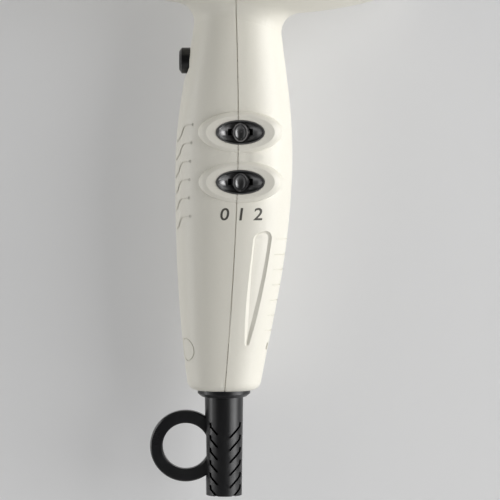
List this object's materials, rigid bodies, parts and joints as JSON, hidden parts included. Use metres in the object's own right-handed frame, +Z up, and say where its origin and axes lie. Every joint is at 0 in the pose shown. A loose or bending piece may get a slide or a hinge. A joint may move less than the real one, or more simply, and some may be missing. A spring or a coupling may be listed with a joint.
{
  "type": "hand-held hair dryer",
  "caption": "Pistol-shaped hand-held hair dryer with a flat concentrator nozzle, two slide switches, a cold shot button and a hang ring on its strain relief.",
  "frame": {"origin": "where the barrel's axis meets the plane in which the two housings part", "axes": "+Z up along the handle towards the barrel, -X the way the air leaves, -Y the side with the switches"},
  "size_m": [0.214, 0.0872, 0.2607],
  "materials": {
    "housing": "warm white semi-gloss",
    "black_gloss": "gloss black",
    "black_satin": "satin black",
    "mica": "pressed mica board",
    "resistance_wire": "drawn resistance wire",
    "steel": "zinc plated",
    "laminated_steel": "stacked laminations",
    "copper": "enamelled copper",
    "bracket": "pressed",
    "brass": "pressed",
    "carbon": "graphite",
    "moulded": "heat resistant moulding",
    "switch_plastic": "phenolic",
    "terminal": "nylon",
    "capacitor": "moulded case",
    "leads": "sleeved wire"
  },
  "bodies": {
    "dryer": {"front_housing": "housing", "rear_housing": "housing", "speed_switch_bezel": "black_gloss", "heat_switch_bezel": "black_gloss", "strain_relief": "black_satin", "outlet_collar": "black_satin", "mica_sleeve": "mica", "mica_cross": "mica", "heating_coils": "resistance_wire", "outlet_grille": "steel", "front_bearing": "steel", "rear_bearing": "steel", "motor_tie_screws": "steel", "housing_screws": "steel", "thermal_fuse": "steel", "cold_shot_spring": "steel", "stator_core": "laminated_steel", "field_coils": "copper", "front_bearing_bracket": "bracket", "rear_bearing_bracket": "bracket", "brush_holders": "brass", "thermostat": "brass", "carbon_brushes": "carbon", "motor_mount": "moulded", "cord_clamp": "moulded", "speed_switch_block": "switch_plastic", "heat_switch_block": "switch_plastic", "cold_shot_switch": "switch_plastic", "choke": "switch_plastic", "terminal_block": "terminal", "suppressor_capacitor": "capacitor", "lead_wires": "leads"},
    "nozzle": {"concentrator_nozzle": "black_satin"},
    "rotor": {"motor_shaft": "steel", "armature_core": "laminated_steel", "armature_windings": "copper", "commutator": "copper", "fan_wheel": "moulded"},
    "rear_cap": {"rear_cap": "black_satin", "filter_mesh": "steel"},
    "speed_knob": {"speed_slider_knob": "black_gloss"},
    "heat_knob": {"heat_slider_knob": "black_gloss"},
    "cold_button": {"cold_shot_button": "black_satin"}
  },
  "joints": [
    {"name": "rotor_spin", "type": "hinge", "parent": "dryer", "child": "rotor", "pos_m": [0, 0, 0], "axis": [-1, 0, 0], "continuous": true},
    {"name": "nozzle_turn", "type": "hinge", "parent": "dryer", "child": "nozzle", "pos_m": [-0.1, 0, 0], "axis": [-1, 0, 0], "continuous": true},
    {"name": "rear_cap_pull", "type": "slide", "parent": "dryer", "child": "rear_cap", "axis": [1, 0, 0], "range_m": [0, 0.025]},
    {"name": "speed_slide", "type": "slide", "parent": "dryer", "child": "speed_knob", "axis": [1, 0, 0], "range_m": [-0.0028, 0.0028]},
    {"name": "heat_slide", "type": "slide", "parent": "dryer", "child": "heat_knob", "axis": [1, 0, 0], "range_m": [-0.0028, 0.0028]},
    {"name": "cold_shot_press", "type": "slide", "parent": "dryer", "child": "cold_button", "axis": [1, 0, 0], "range_m": [0, 0.002], "stiffness_N_per_m": 600, "springref_m": -0.0005, "deforming": ["cold_shot_spring"]}
  ]
}
